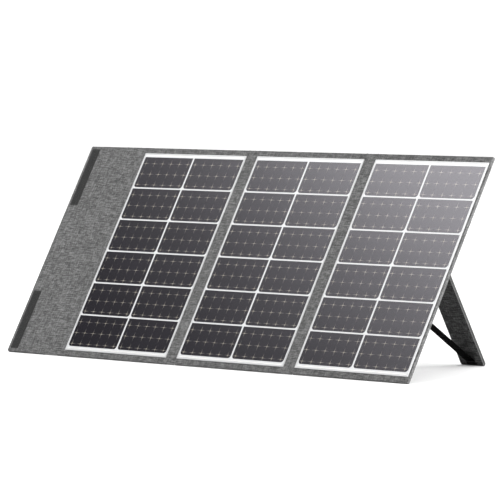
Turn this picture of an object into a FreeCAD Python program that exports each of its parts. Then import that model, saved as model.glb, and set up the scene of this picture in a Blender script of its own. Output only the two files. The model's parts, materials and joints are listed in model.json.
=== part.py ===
import FreeCAD, Part
import math
import os

# Folding camping solar panel: three rigid leaves and a cover flap in one fabric skin.
# It stands open, leaning back on two plate stands. All lengths are millimetres.
# Leaf coordinates are (x, w, f): x along the width from the fabric's left edge,
# w up the slope from the bottom edge, f out of the fabric's front face.

# ---- driving dimensions ----
LEAN_DEG = 60.0          # slope of the leaves above the ground
STAND_DEG = 60.0         # angle between an open stand and the leaf's back

CELL_W = 158.75          # half-cut solar cell, width
CELL_H = CELL_W / 2      # half-cut solar cell, height
CELL_T = 0.4
CELL_COLUMNS = 2
CELL_ROWS = 6
CELL_CORNER = 7.5        # rounded lower corners of a cell
COLUMN_GAP = 5.2         # between columns, and from cells to the sheet's sides
ROW_GAP = 3.85
SHEET_END = 10.1         # from cells to the sheet's top and bottom

BACKSHEET_T = 1.2
FILM_T = 0.5
SHEET_SPACING = 35.5     # fabric seen between two sheets
LEFT_FABRIC = 195.0      # fabric left of the first sheet: flap and its fold strip
RIGHT_FABRIC = 5.0
BOTTOM_FABRIC = 14.0
TOP_FABRIC = 16.2
LEAF_LIP = 3.0           # leaf beyond its sheet, at a fold
FLAP_SIDE_LIP = 26.0     # the same at the flap's fold strip: room for the inner fold's bulge

LEAF_T = 8.0             # fabric-covered board
SKIN_T = 1.2             # padded fabric skin
EDGE_R = 2.0             # rounding of fabric edges
FOOT_FLAT = 0.3          # how far soft edges flatten on the ground
FIT = 0.1                # board inside its skin
FOLD_GAP = 0.3           # between pieces that turn against each other

FLAP_STRIP_W = 42.0      # fold strip between the flap and leaf 1, as deep as the folded stack
INNER_FOLD_H = 3.0       # fold axis of leaves 2 and 3, in front of the fabric
INNER_FOLD_SHIFT = 1.5   # and right of its strip's middle, so that leaf 3 folds inside leaf 2

HOOK_W, HOOK_L, HOOK_T = 25.2, 150.0, 1.5
HOOK_EDGE = 8.5          # hook strips to the flap's edges
LOOP_W, LOOP_L = 30.0, 156.0

STAND_W = 71.4
STAND_T = 6.0
STAND_SKIN = 1.0
STAND_CORNER = 6.0       # rounded bottom corners
STAND_OFF = 4.0          # folded stand to the leaf's back
STAND_HINGE_W = 464.0    # hinge line up the slope
STAND_X = (355.0, 1034.4)  # middle of each stand, behind leaves 1 and 3
STAND_LEAVES = (1, 3)
STRAP_W = 28.0
STRAP_T = 1.5
STRAP_TOP_W = 258.0      # where the strap is sewn to the leaf
STRAP_FOOT = 13.0        # strap's lower end above the stand's end
PATCH_T = 1.5

PATCH_L = 40.0           # hinge patch up the slope
HEM_GAP = 2.0            # rolled hem above the hinge line
HEM_L, HEM_TAPER = 2.0, 10.0
STRAP_PATCH_L = 30.0     # patch over the strap's sewn end
STRAP_TAB_L = 5.0

BOX_X0, BOX_W0 = 14.0, 424.0   # output box on the flap's back
BOX_L, BOX_H = 100.0, 60.0
BOX_BASE_T, BOX_LID_T = 15.5, 3.0
BOX_WALL = 2.0
BOX_EDGE_R, LID_EDGE_R = 3.0, 2.5
SCREW_R, SCREW_HEAD_R, SCREW_HEAD_T = 1.4, 2.8, 1.6
SCREW_SUNK = 0.2         # screw head below the lid's face
SCREW_DEPTH, DRILL_DEPTH = 7.0, 8.0
CROSS_L, CROSS_W, CROSS_DEPTH = 3.2, 0.7, 1.0
POST_R = 3.4
POST_IN_WALL = 0.6       # how far a post merges into the box's walls
PCB_T = 1.6
PCB_SIDE, PCB_LOW, PCB_HIGH = 10.0, 0.4, 5.0   # from the board's edges to the box and its walls
REST_W, REST_T = 3.0, 1.0                # rests that hold the circuit board off the floor
REST_PLACES = (20.0, 84.0)               # from the box's left side, as are the next three
USB_PLACES = (36.0, 58.0)
DC_PLACE = 78.0
PORT_COVER_SPAN, PORT_GRIP_SPAN = (24.0, 90.0), (50.0, 64.0)
PORT_COVER_T = 2.0
PORT_GRIP_OUT = 2.0      # grip bar, proud of the cover
PORT_COVER_LOW, PORT_COVER_HIGH = 1.0, 0.6     # from the cover to the flap and to the lid
USB_W, USB_H, USB_D = 13.1, 5.7, 14.0
USB_SHELL_T = 0.4
USB_TONGUE_W, USB_TONGUE_T = 11.0, 1.6
DC_R, DC_BORE_R, DC_PIN_R = 4.4, 2.9, 1.0
DC_DROP = 2.0            # DC socket's middle beyond the USB sockets' middle

POCKET_X0, POCKET_W0 = 14.0, 110.0
POCKET_L, POCKET_H, POCKET_D = 99.0, 250.0, 18.0
POCKET_WALL = 1.2
ZIP_W = 336.0            # zip's middle, up the slope
ZIP_L = 78.0
ZIP_SLOT = 8.0
POCKET_EDGE_R = 4.0
TAPE_T, TAPE_HALF, TAPE_GAP = 0.6, 11.0, 0.6   # tape thickness, its outer and inner edge
TAPE_OVER = 3.0          # tape beyond the zip's ends
TOOTH_PITCH = 2.0
TOOTH_L, TOOTH_W, TOOTH_T = 3.0, 1.4, 1.2
TOOTH_STAGGER = 1.4
SLIDER_L, SLIDER_HALF, SLIDER_T = 9.0, 4.0, 1.2
SLIDER_START = 2.0       # closed slider from the zip's left end
SLIDER_FLOAT = 0.4       # slider above the teeth
CHEEK_T, CHEEK_FLOAT = 1.0, 0.2
BRIDGE_HALF, BRIDGE_OUT, BRIDGE_EDGE = 3.0, 4.0, 3.0
TUNNEL_HALF, TUNNEL_OUT = 1.6, 3.2
PULL_W, PULL_T, PULL_L = 6.0, 1.0, 24.0
PULL_TOP, PULL_AXIS_OUT = 0.55, 2.2
EYE_W, EYE_LOW, EYE_HIGH = 3.8, 5.0, 0.5

# ---- derived sizes ----
SIN, COS = math.sin(math.radians(LEAN_DEG)), math.cos(math.radians(LEAN_DEG))
SHEET_W = CELL_COLUMNS * CELL_W + (CELL_COLUMNS + 1) * COLUMN_GAP
SHEET_H = CELL_ROWS * CELL_H + (CELL_ROWS - 1) * ROW_GAP + 2 * SHEET_END
LEAF_H = BOTTOM_FABRIC + SHEET_H + TOP_FABRIC
TOTAL_W = LEFT_FABRIC + 3 * SHEET_W + 2 * SHEET_SPACING + RIGHT_FABRIC
SHEET_X = [LEFT_FABRIC + i * (SHEET_W + SHEET_SPACING) for i in range(3)]
LEAF_X = [(x - LEAF_LIP, x + SHEET_W + LEAF_LIP) for x in SHEET_X]
LEAF_X[0] = (SHEET_X[0] - FLAP_SIDE_LIP, LEAF_X[0][1])
LEAF_X[2] = (LEAF_X[2][0], TOTAL_W)
FLAP_X1 = LEAF_X[0][0] - FLAP_STRIP_W
ROUND_DROP = EDGE_R * (SIN + COS - 1)    # a rounded edge falls this short of its corner
LIFT = LEAF_T * COS - ROUND_DROP - FOOT_FLAT
HINGE_F = -(LEAF_T + STAND_OFF)
STAND_HINGE_Z = STAND_HINGE_W * SIN + HINGE_F * COS + LIFT
STAND_HINGE_Y = STAND_HINGE_W * COS - HINGE_F * SIN
STAND_L = (STAND_HINGE_Z + FOOT_FLAT + ROUND_DROP) / SIN
FRONT_Y = ROUND_DROP
BACK_Y = STAND_HINGE_Y + COS * (STAND_L - EDGE_R) + SIN * (STAND_T - EDGE_R) + EDGE_R
SHIFT = FreeCAD.Vector(-TOTAL_W / 2, -(FRONT_Y + BACK_Y) / 2, LIFT)
LEAF_FOOT_Y = EDGE_R * COS + (LEAF_T - EDGE_R) * SIN            # middle of a leaf's flat foot
STAND_FOOT_Y = STAND_HINGE_Y + (STAND_L - EDGE_R) * COS + EDGE_R * SIN
INNER_FOLD_X = (LEAF_X[1][1] + LEAF_X[2][0]) / 2 + INNER_FOLD_SHIFT

V = FreeCAD.Vector
OUT = "parts"


def box(x0, x1, w0, w1, f0, f1):
    return Part.makeBox(x1 - x0, w1 - w0, f1 - f0, V(x0, w0, f0))


def rounded_box(x0, x1, w0, w1, f0, f1, radius):
    solid = box(x0, x1, w0, w1, f0, f1)
    return solid.makeFillet(radius, solid.Edges)


def cylinder(x, w, f0, f1, radius):
    return Part.makeCylinder(radius, f1 - f0, V(x, w, f0))


def group(solids):
    return Part.makeCompound(solids)


def place(shape):
    """Leans a shape from leaf coordinates back to its slope and sets it on the ground."""
    moved = shape.copy()
    moved.rotate(V(0, 0, 0), V(1, 0, 0), LEAN_DEG)
    moved.translate(SHIFT)
    return moved


def point(x, w, f):
    return V(x, w * COS - f * SIN, w * SIN + f * COS) + SHIFT


def open_stand(shape):
    """Turns a stand's shape from folded against the leaf to open, in leaf coordinates."""
    moved = shape.copy()
    moved.rotate(V(0, STAND_HINGE_W, HINGE_F), V(1, 0, 0), STAND_DEG)
    return moved


def flatten_foot(shape):
    """Cuts what a soft edge would press into the ground."""
    ground = Part.makeBox(3000, 3000, 20, V(-1500, -1500, -20))
    return shape.cut(ground)


def save(name, shape, soft_foot=False):
    placed = place(shape)
    if soft_foot:
        placed = flatten_foot(placed)
    placed.exportStep(os.path.join(OUT, name + ".step"))
    NODES[name] = placed


# ---- leaves ----
def leaf_skin(x0, x1):
    outer = rounded_box(x0, x1, 0, LEAF_H, -LEAF_T, 0, EDGE_R)
    inner = box(x0 + SKIN_T, x1 - SKIN_T, SKIN_T, LEAF_H - SKIN_T,
                -LEAF_T + SKIN_T, -SKIN_T)
    return outer.cut(inner)


def leaf_board(x0, x1):
    inset = SKIN_T + FIT
    return box(x0 + inset, x1 - inset, inset, LEAF_H - inset, -LEAF_T + inset, -inset)


def cell_places(sheet_x):
    for column in range(CELL_COLUMNS):
        for row in range(CELL_ROWS):
            x = sheet_x + COLUMN_GAP + column * (CELL_W + COLUMN_GAP)
            w = BOTTOM_FABRIC + SHEET_END + row * (CELL_H + ROW_GAP)
            yield x, w


def cell(x, w, f0, f1):
    """A half-cut cell: square at its cut upper edge, rounded at its two lower corners."""
    solid = box(x, x + CELL_W, w, w + CELL_H, f0, f1)
    low = [e for e in solid.Edges
           if abs(e.BoundBox.ZLength - (f1 - f0)) < 1e-6 and e.CenterOfMass.y < w + 1]
    return solid.makeFillet(CELL_CORNER, low)


def solar_sheet(number, sheet_x):
    x0, x1 = sheet_x, sheet_x + SHEET_W
    w0, w1 = BOTTOM_FABRIC, BOTTOM_FABRIC + SHEET_H
    f_cell = BACKSHEET_T
    f_film = f_cell + CELL_T
    cells = [cell(x, w, f_cell, f_film) for x, w in cell_places(sheet_x)]
    filler = box(x0, x1, w0, w1, f_cell, f_film).cut(group(cells))
    save(f"leaf_{number}_backsheet", box(x0, x1, w0, w1, 0, BACKSHEET_T))
    save(f"leaf_{number}_encapsulant", filler)
    save(f"leaf_{number}_cells", group(cells))
    save(f"leaf_{number}_front_film", box(x0, x1, w0, w1, f_film, f_film + FILM_T))


def leaves():
    for i, (x0, x1) in enumerate(LEAF_X):
        save(f"leaf_{i + 1}_skin", leaf_skin(x0, x1), soft_foot=True)
        save(f"leaf_{i + 1}_board", leaf_board(x0, x1))
        solar_sheet(i + 1, SHEET_X[i])


def flap():
    save("flap_skin", leaf_skin(0, FLAP_X1), soft_foot=True)
    save("flap_board", leaf_board(0, FLAP_X1))
    x0, x1 = HOOK_EDGE, HOOK_EDGE + HOOK_W
    top = LEAF_H - HOOK_EDGE
    save("hook_strip_top", box(x0, x1, top - HOOK_L, top, 0, HOOK_T))
    save("hook_strip_bottom", box(x0, x1, HOOK_EDGE, HOOK_EDGE + HOOK_L, 0, HOOK_T))


def fold_strips():
    def strip(x0, x1):
        return box(x0 + FOLD_GAP, x1 - FOLD_GAP, EDGE_R, LEAF_H - EDGE_R, -SKIN_T, 0)

    save("flap_fold_strip", strip(FLAP_X1, LEAF_X[0][0]))
    save("outer_fold_strip", strip(LEAF_X[0][1], LEAF_X[1][0]))
    save("inner_fold_strip", strip(LEAF_X[1][1], LEAF_X[2][0]))


def loop_strips():
    """Loop tape on leaf 2's back, where the flap's hook tape lands when all is folded."""
    folded_edge = LEAF_X[0][1] - (LEAF_X[1][1] - LEAF_X[1][0])
    hook_x = LEAF_X[0][0] + FLAP_X1 - HOOK_EDGE - HOOK_W / 2
    middle = LEAF_X[1][1] - (hook_x - folded_edge)
    x0, x1 = middle - LOOP_W / 2, middle + LOOP_W / 2
    low = HOOK_EDGE + HOOK_L / 2
    for name, w in (("loop_strip_bottom", low), ("loop_strip_top", LEAF_H - low)):
        save(name, box(x0, x1, w - LOOP_L / 2, w + LOOP_L / 2, -LEAF_T - HOOK_T, -LEAF_T))


# ---- stands, modelled folded against the leaf's back and then opened ----
def stand_plate(x0, x1, grow=0.0):
    """The plate's outline, with round bottom corners, grow smaller all round."""
    top = STAND_HINGE_W - 1.0 - grow
    bottom = STAND_HINGE_W - STAND_L + grow
    front, back = HINGE_F - grow, HINGE_F - STAND_T + grow
    solid = box(x0 + grow, x1 - grow, bottom, top, back, front)
    corners = [e for e in solid.Edges
               if abs(e.BoundBox.ZLength - (front - back)) < 1e-6
               and e.CenterOfMass.y < bottom + 1]
    return solid.makeFillet(STAND_CORNER - grow, corners)


def stand_skin(x0, x1):
    plate = stand_plate(x0, x1)
    rims = [e for e in plate.Edges if e.BoundBox.ZLength < 1e-6]
    rounded = plate.makeFillet(EDGE_R - 0.01, rims)
    return rounded.cut(stand_plate(x0, x1, STAND_SKIN))


def stand_board(x0, x1):
    return stand_plate(x0, x1, STAND_SKIN + FIT)


def hinge_patch(x0, x1):
    """Fabric patch sewn to the leaf above the hinge, with a rolled hem at its lower end."""
    back = -LEAF_T
    hem = HINGE_F + FOLD_GAP
    low = STAND_HINGE_W + HEM_GAP
    outline = [(low, back), (low + PATCH_L, back), (low + PATCH_L, back - PATCH_T),
               (low + HEM_TAPER, back - PATCH_T), (low + HEM_L, hem), (low, hem)]
    corners = [V(x0, w, f) for w, f in outline]
    face = Part.Face(Part.makePolygon(corners + corners[:1]))
    return face.extrude(V(x1 - x0, 0, 0))


def strap_ends():
    """The strap's two ends in leaf coordinates with the stand open, as (w, f) pairs."""
    top = (STRAP_TOP_W, -LEAF_T - FOLD_GAP - STRAP_T / 2)
    foot = open_stand(Part.Vertex(0, STAND_HINGE_W - STAND_L + STRAP_FOOT,
                                  HINGE_F + FOLD_GAP + STRAP_T / 2)).Point
    return top, (foot.y, foot.z)


def strap(x0, x1):
    (w0, f0), (w1, f1) = strap_ends()
    length = math.hypot(w1 - w0, f1 - f0)
    solid = box(x0, x1, FOLD_GAP, length - FOLD_GAP, -STRAP_T / 2, STRAP_T / 2)
    solid.rotate(V(0, 0, 0), V(1, 0, 0), math.degrees(math.atan2(f1 - f0, w1 - w0)))
    solid.translate(V(0, w0, f0))
    return solid


def stands():
    for leaf, middle in zip(STAND_LEAVES, STAND_X):
        x0, x1 = middle - STAND_W / 2, middle + STAND_W / 2
        s0, s1 = middle - STRAP_W / 2, middle + STRAP_W / 2
        save(f"stand_{leaf}_skin", open_stand(stand_skin(x0, x1)), soft_foot=True)
        save(f"stand_{leaf}_board", open_stand(stand_board(x0, x1)))
        save(f"stand_{leaf}_hinge_patch", hinge_patch(x0, x1))
        save(f"stand_{leaf}_strap", strap(s0, s1))
        sewn_top = STRAP_TOP_W - STRAP_T
        save(f"stand_{leaf}_strap_patch",
             box(s0, s1, sewn_top - STRAP_PATCH_L, sewn_top, -LEAF_T - PATCH_T, -LEAF_T))
        tab_top = STAND_HINGE_W - STAND_L + STRAP_FOOT - 2 * STRAP_T
        tab = box(s0, s1, tab_top - STRAP_TAB_L, tab_top, HINGE_F, HINGE_F + PATCH_T)
        save(f"stand_{leaf}_strap_tab", open_stand(tab))


# ---- output box on the flap's back ----
BACK = -LEAF_T
BOX_X1, BOX_W1 = BOX_X0 + BOX_L, BOX_W0 + BOX_H
BOX_FLOOR = BACK - BOX_WALL
BOX_RIM = BACK - BOX_BASE_T
LID_FACE = BOX_RIM - BOX_LID_T
PCB_TOP = BOX_FLOOR - REST_T - PCB_T
USB_F = PCB_TOP - USB_H / 2
DC_F = USB_F - DC_DROP
USB_X = [BOX_X0 + at for at in USB_PLACES]
DC_X = BOX_X0 + DC_PLACE


def box_posts():
    inset = BOX_WALL + POST_R - POST_IN_WALL
    for x in (BOX_X0 + inset, BOX_X1 - inset):
        for w in (BOX_W0 + inset, BOX_W1 - inset):
            yield x, w


def posts(f0, f1, radius):
    return [cylinder(x, w, f0, f1, radius) for x, w in box_posts()]


def bar_up(x, w, f, radius, length):
    """A round bar that runs up the slope."""
    return Part.makeCylinder(radius, length, V(x, w, f), V(0, 1, 0))


def box_base():
    solid = rounded_box(BOX_X0, BOX_X1, BOX_W0, BOX_W1, BOX_RIM - 2 * BOX_EDGE_R, BACK, BOX_EDGE_R)
    solid = solid.common(box(BOX_X0, BOX_X1, BOX_W0, BOX_W1, BOX_RIM, BACK))
    inside_low, inside_high = BOX_W0 + BOX_WALL, BOX_W1 - BOX_WALL
    solid = solid.cut(box(BOX_X0 + BOX_WALL, BOX_X1 - BOX_WALL, inside_low, inside_high,
                          BOX_RIM, BOX_FLOOR))
    rests = [box(BOX_X0 + at, BOX_X0 + at + REST_W, inside_low, inside_high,
                 BOX_FLOOR - REST_T, BOX_FLOOR) for at in REST_PLACES]
    solid = solid.fuse(posts(BOX_RIM, BOX_FLOOR, POST_R) + rests)
    solid = solid.cut(group(posts(BOX_RIM, BOX_RIM + DRILL_DEPTH, SCREW_R)))
    half_w, half_h = USB_W / 2 + FIT, USB_H / 2 + FIT
    holes = [box(x - half_w, x + half_w, BOX_W0 - 1, BOX_W0 + BOX_WALL + 1,
                 USB_F - half_h, USB_F + half_h) for x in USB_X]
    holes.append(bar_up(DC_X, BOX_W0 - 1, DC_F, DC_R + FIT, BOX_WALL + 2))
    return solid.cut(group(holes))


def box_lid():
    solid = rounded_box(BOX_X0, BOX_X1, BOX_W0, BOX_W1, LID_FACE, BOX_RIM + 2 * LID_EDGE_R, LID_EDGE_R)
    solid = solid.common(box(BOX_X0, BOX_X1, BOX_W0, BOX_W1, LID_FACE, BOX_RIM))
    drills = posts(LID_FACE, BOX_RIM, SCREW_R + FIT)
    sinks = posts(LID_FACE, LID_FACE + SCREW_HEAD_T, SCREW_HEAD_R + FIT)
    return solid.cut(group(drills)).cut(group(sinks))


def screw(x, w):
    """A cross-head screw, its head just below the lid's face."""
    shank = cylinder(x, w, LID_FACE + SCREW_HEAD_T, BOX_RIM + SCREW_DEPTH, SCREW_R)
    head = cylinder(x, w, LID_FACE + SCREW_SUNK, LID_FACE + SCREW_HEAD_T, SCREW_HEAD_R)
    cross = [box(x - a / 2, x + a / 2, w - b / 2, w + b / 2, LID_FACE, LID_FACE + CROSS_DEPTH)
             for a, b in ((CROSS_L, CROSS_W), (CROSS_W, CROSS_L))]
    return head.fuse(shank).cut(group(cross))


def usb_socket(x):
    """A metal shell, closed at the back, with its tongue inside."""
    half, wall = USB_W / 2, USB_SHELL_T
    shell = box(x - half, x + half, BOX_W0, BOX_W0 + USB_D, PCB_TOP - USB_H, PCB_TOP)
    mouth = box(x - half + wall, x + half - wall, BOX_W0, BOX_W0 + USB_D - 1,
                PCB_TOP - USB_H + wall, PCB_TOP - wall)
    tongue = box(x - USB_TONGUE_W / 2, x + USB_TONGUE_W / 2, BOX_W0 + 1, BOX_W0 + USB_D - 1,
                 USB_F - USB_TONGUE_T, USB_F)
    return shell.cut(mouth).fuse(tongue)


def dc_socket():
    barrel = bar_up(DC_X, BOX_W0, DC_F, DC_R, USB_D)
    bore = bar_up(DC_X, BOX_W0, DC_F, DC_BORE_R, USB_D - 3)
    pin = bar_up(DC_X, BOX_W0 + 1, DC_F, DC_PIN_R, USB_D - 4)
    return barrel.cut(bore).fuse(pin)


def port_cover():
    """Rubber flap over the sockets, hinged at the lid's side, with a grip bar."""
    inner, outer = BOX_W0 - FOLD_GAP, BOX_W0 - FOLD_GAP - PORT_COVER_T
    cover_f, low_f = BOX_RIM + PORT_COVER_HIGH, BACK - PORT_COVER_LOW
    x0, x1 = (BOX_X0 + at for at in PORT_COVER_SPAN)
    grip_x0, grip_x1 = (BOX_X0 + at for at in PORT_GRIP_SPAN)
    plate = box(x0, x1, outer, inner, cover_f, low_f)
    grip = box(grip_x0, grip_x1, outer - PORT_GRIP_OUT, outer, low_f - PORT_GRIP_OUT, low_f)
    POINTS["port_cover_axis"] = point((x0 + x1) / 2, (outer + inner) / 2, cover_f)
    return plate.fuse(grip).removeSplitter()


def output_box():
    save("output_box_base", box_base())
    save("output_box_lid", box_lid())
    save("output_box_screws", group([screw(x, w) for x, w in box_posts()]))
    save("circuit_board", box(BOX_X0 + PCB_SIDE, BOX_X1 - PCB_SIDE, BOX_W0 + BOX_WALL + PCB_LOW,
                              BOX_W1 - PCB_HIGH, PCB_TOP, BOX_FLOOR - REST_T))
    save("usb_sockets", group([usb_socket(x) for x in USB_X]))
    save("dc_socket", dc_socket())
    save("port_cover", port_cover())
    POINTS["dc_mouth"] = point(DC_X, BOX_W0, DC_F)
    POINTS["usb_mouth"] = point(USB_X[0], BOX_W0, USB_F)
    POINTS["usb_mouth_2"] = point(USB_X[1], BOX_W0, USB_F)


# ---- cable pocket on the flap's back ----
POCKET_X1, POCKET_W1 = POCKET_X0 + POCKET_L, POCKET_W0 + POCKET_H
POCKET_FACE = BACK - POCKET_D
ZIP_X0 = POCKET_X0 + (POCKET_L - ZIP_L) / 2
ZIP_X1 = ZIP_X0 + ZIP_L
TAPE_FACE = POCKET_FACE - TAPE_T
TOOTH_FACE = TAPE_FACE - TOOTH_T
SLIDER_X = ZIP_X0 + SLIDER_START
SLIDER_F = TOOTH_FACE - SLIDER_FLOAT
PULL_AXIS_F = SLIDER_F - PULL_AXIS_OUT


def pocket_bag():
    outer = rounded_box(POCKET_X0, POCKET_X1, POCKET_W0, POCKET_W1, POCKET_FACE,
                        BACK + 2 * POCKET_EDGE_R, POCKET_EDGE_R)
    outer = outer.common(box(POCKET_X0, POCKET_X1, POCKET_W0, POCKET_W1, POCKET_FACE, BACK))
    inner = box(POCKET_X0 + POCKET_WALL, POCKET_X1 - POCKET_WALL, POCKET_W0 + POCKET_WALL,
                POCKET_W1 - POCKET_WALL, POCKET_FACE + POCKET_WALL, BACK)
    slot = box(ZIP_X0, ZIP_X1, ZIP_W - ZIP_SLOT / 2, ZIP_W + ZIP_SLOT / 2,
               POCKET_FACE - 1, POCKET_FACE + POCKET_WALL + 1)
    return outer.cut(inner).cut(slot)


def zip_tape():
    halves = [box(ZIP_X0 - TAPE_OVER, ZIP_X1 + TAPE_OVER, low, high, TAPE_FACE, POCKET_FACE)
              for low, high in ((ZIP_W - TAPE_HALF, ZIP_W - TAPE_GAP),
                                (ZIP_W + TAPE_GAP, ZIP_W + TAPE_HALF))]
    return group(halves)


def zip_teeth():
    teeth = []
    for i in range(int(ZIP_L / TOOTH_PITCH)):
        x = ZIP_X0 + (i + 0.5) * TOOTH_PITCH
        side = -1 if i % 2 else 1
        middle = ZIP_W + side * TOOTH_STAGGER / 2
        teeth.append(box(x - TOOTH_W / 2, x + TOOTH_W / 2, middle - TOOTH_L / 2, middle + TOOTH_L / 2,
                         TOOTH_FACE, TAPE_FACE))
    return group(teeth)


def zip_slider():
    """Top plate with two cheeks beside the teeth, and the bridge that holds the pull."""
    x0, x1 = SLIDER_X, SLIDER_X + SLIDER_L
    top = SLIDER_F - SLIDER_T
    plate = box(x0, x1, ZIP_W - SLIDER_HALF, ZIP_W + SLIDER_HALF, top, SLIDER_F)
    cheeks = [box(x0, x1, low, low + CHEEK_T, top, TAPE_FACE - CHEEK_FLOAT)
              for low in (ZIP_W - SLIDER_HALF, ZIP_W + SLIDER_HALF - CHEEK_T)]
    bx0, bx1 = x0 + BRIDGE_EDGE, x1 - BRIDGE_EDGE
    bridge = box(bx0, bx1, ZIP_W - BRIDGE_HALF, ZIP_W + BRIDGE_HALF, SLIDER_F - BRIDGE_OUT, top)
    tunnel = box(bx0, bx1, ZIP_W - TUNNEL_HALF, ZIP_W + TUNNEL_HALF, SLIDER_F - TUNNEL_OUT, top)
    return plate.fuse(cheeks).fuse(bridge.cut(tunnel)).removeSplitter()


def zip_pull():
    """A flat tongue with an eye, which hangs straight down from the slider's bridge."""
    middle = SLIDER_X + SLIDER_L / 2
    tongue = box(middle - PULL_W / 2, middle + PULL_W / 2, ZIP_W - PULL_L, ZIP_W + PULL_TOP,
                 PULL_AXIS_F - PULL_T / 2, PULL_AXIS_F + PULL_T / 2)
    eye = box(middle - EYE_W / 2, middle + EYE_W / 2, ZIP_W - EYE_LOW, ZIP_W - EYE_HIGH,
              PULL_AXIS_F - PULL_T, PULL_AXIS_F + PULL_T)
    hung = tongue.cut(eye)
    hung.rotate(V(0, ZIP_W, PULL_AXIS_F), V(1, 0, 0), 90 - LEAN_DEG)
    POINTS["zip_pull_axis"] = point(middle, ZIP_W, PULL_AXIS_F)
    return hung


def pocket():
    save("pocket_bag", pocket_bag())
    save("zip_tape", zip_tape())
    save("zip_teeth", zip_teeth())
    save("zip_slider", zip_slider())
    save("zip_pull", zip_pull())
    # Corners of the room inside the pocket, in leaf coordinates.
    clear = 2.0
    POINTS["pocket_low"] = V(POCKET_X0 + clear, POCKET_W0 + clear, POCKET_FACE + clear)
    POINTS["pocket_high"] = V(POCKET_X1 - clear, POCKET_W1 - clear, BACK - clear / 4)


NODES, POINTS = {}, {}
os.makedirs(OUT, exist_ok=True)
leaves()
flap()
fold_strips()
loop_strips()
stands()
output_box()
pocket()

# ---- places on the object that its joints and rests use ----
POINTS["leaf_origin"] = point(0, 0, 0)
for leaf_number, stand_middle in zip(STAND_LEAVES, STAND_X):
    leaf_middle = sum(LEAF_X[leaf_number - 1]) / 2
    POINTS[f"leaf_{leaf_number}_foot"] = V(leaf_middle + SHIFT.x, LEAF_FOOT_Y + SHIFT.y, 0)
    POINTS[f"stand_{leaf_number}_foot"] = V(stand_middle + SHIFT.x, STAND_FOOT_Y + SHIFT.y, 0)
    POINTS[f"stand_{leaf_number}_axis"] = point(stand_middle, STAND_HINGE_W, HINGE_F)
for name, x in (("flap_edge_axis", FLAP_X1), ("leaf_1_flap_axis", LEAF_X[0][0]),
                ("leaf_1_outer_axis", LEAF_X[0][1]), ("leaf_2_outer_axis", LEAF_X[1][0])):
    POINTS[name] = point(x, LEAF_H / 2, 0)
POINTS["inner_fold_axis"] = point(INNER_FOLD_X, LEAF_H / 2, INNER_FOLD_H)
for name, place_on_part in POINTS.items():
    print(name, round(place_on_part.x, 4), round(place_on_part.y, 4), round(place_on_part.z, 4))
whole = Part.makeCompound(list(NODES.values())).BoundBox
print("nodes", len(NODES), "box", [round(n, 3) for n in (
    whole.XMin, whole.XMax, whole.YMin, whole.YMax, whole.ZMin, whole.ZMax)])
for name, shape in NODES.items():
    if not shape.isValid():
        print("not valid:", name)
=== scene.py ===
import json
import math

import bpy
from mathutils import Matrix, Vector, noise

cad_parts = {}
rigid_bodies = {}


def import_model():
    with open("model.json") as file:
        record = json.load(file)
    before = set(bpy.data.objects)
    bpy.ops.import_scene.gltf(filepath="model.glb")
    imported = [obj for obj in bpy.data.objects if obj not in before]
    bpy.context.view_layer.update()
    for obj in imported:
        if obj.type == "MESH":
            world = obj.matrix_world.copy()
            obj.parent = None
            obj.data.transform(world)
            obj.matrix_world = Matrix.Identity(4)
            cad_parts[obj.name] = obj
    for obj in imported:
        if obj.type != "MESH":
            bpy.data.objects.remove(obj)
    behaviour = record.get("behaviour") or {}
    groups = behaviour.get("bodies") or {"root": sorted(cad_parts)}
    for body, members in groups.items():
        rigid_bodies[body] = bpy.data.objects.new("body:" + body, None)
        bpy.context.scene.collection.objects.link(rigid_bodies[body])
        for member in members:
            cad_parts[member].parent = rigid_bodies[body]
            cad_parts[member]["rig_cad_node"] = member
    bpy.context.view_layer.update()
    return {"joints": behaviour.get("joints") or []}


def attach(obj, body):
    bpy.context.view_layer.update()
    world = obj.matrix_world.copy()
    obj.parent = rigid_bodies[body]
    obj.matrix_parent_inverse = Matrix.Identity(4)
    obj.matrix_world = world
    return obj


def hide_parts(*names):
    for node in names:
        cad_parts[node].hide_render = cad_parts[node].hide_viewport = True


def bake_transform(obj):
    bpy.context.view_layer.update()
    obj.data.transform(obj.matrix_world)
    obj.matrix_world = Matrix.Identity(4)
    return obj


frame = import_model()
MM = 0.001

# ================================================================ shared frame
# Leaf coordinates (x, w, f): x along the width, w up the slope, f out of the leaf's front.
# They are the row frame turned about X, with no offset. An open stand has its own turn.
LEAF_TURN = Matrix.Rotation(math.radians(60.0), 4, "X")
STAND_TURN = Matrix.Rotation(math.radians(120.0), 4, "X")
NODES = {o["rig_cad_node"]: o for o in bpy.data.objects if "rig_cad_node" in o}
LEAVES = ("leaf_1", "leaf_2", "leaf_3")
STANDS = (("leaf_1", "stand_1"), ("leaf_3", "stand_3"))


def node_points(node, turn=LEAF_TURN):
    """A CAD node's points (x, w, f), in leaf or stand coordinates."""
    back = turn.inverted()
    return [back @ v.co for v in NODES[node].data.vertices]


def extent(node, turn=LEAF_TURN):
    """Lowest and highest (x, w, f) of a CAD node, in leaf or stand coordinates."""
    points = node_points(node, turn)
    low = Vector([min(p[i] for p in points) for i in range(3)])
    high = Vector([max(p[i] for p in points) for i in range(3)])
    return low, high


# ================================================================ camera, floor and light
AIM = Vector((0.0224, -0.0946, 0.2567))
VIEW_DIRECTION = Vector((-0.7048, 0.7076, -0.0511)).normalized()
VIEW_DISTANCE = 8.945
LENS_MM = 287.3
FLOOR_HALF = 40.0

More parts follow.
